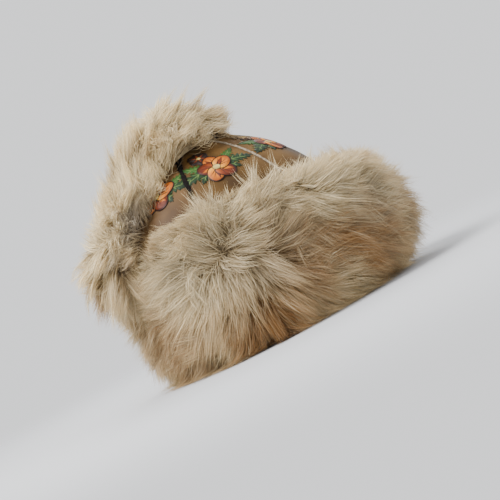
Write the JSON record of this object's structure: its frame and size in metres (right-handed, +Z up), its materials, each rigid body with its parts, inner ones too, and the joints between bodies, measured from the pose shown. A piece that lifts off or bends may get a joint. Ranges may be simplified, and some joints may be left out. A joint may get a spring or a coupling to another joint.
{
  "type": "cossack hat",
  "caption": "Fur hat with a rounded leather crown sewn from painted gores, a deep fur cuff round the head and a fur back flap turned up over the crown.",
  "frame": {"origin": "middle of the hat's box, on the surface that the fur cuff stands on", "axes": "+Z up through the crown, -Y towards the wearer's face, -X towards the wearer's right side"},
  "size_m": [0.3224, 0.3672, 0.2813],
  "materials": {
    "leather": "smooth tan leather, painted with flowers",
    "seam": "raised seam with a pale edge, one of them black",
    "fur": "long soft cream and tan fur on its hide"
  },
  "bodies": {
    "root": {"crown_gore_1": "leather", "crown_gore_2": "leather", "crown_gore_3": "leather", "crown_gore_4": "leather", "crown_gore_5": "leather", "crown_gore_6": "leather", "crown_seam_1": "seam", "crown_seam_2": "seam", "crown_seam_3": "seam", "crown_seam_4": "seam", "crown_seam_5": "seam", "crown_seam_6": "seam", "fur_front": "fur", "fur_right": "fur", "fur_left": "fur", "fur_back": "fur"}
  },
  "joints": []
}
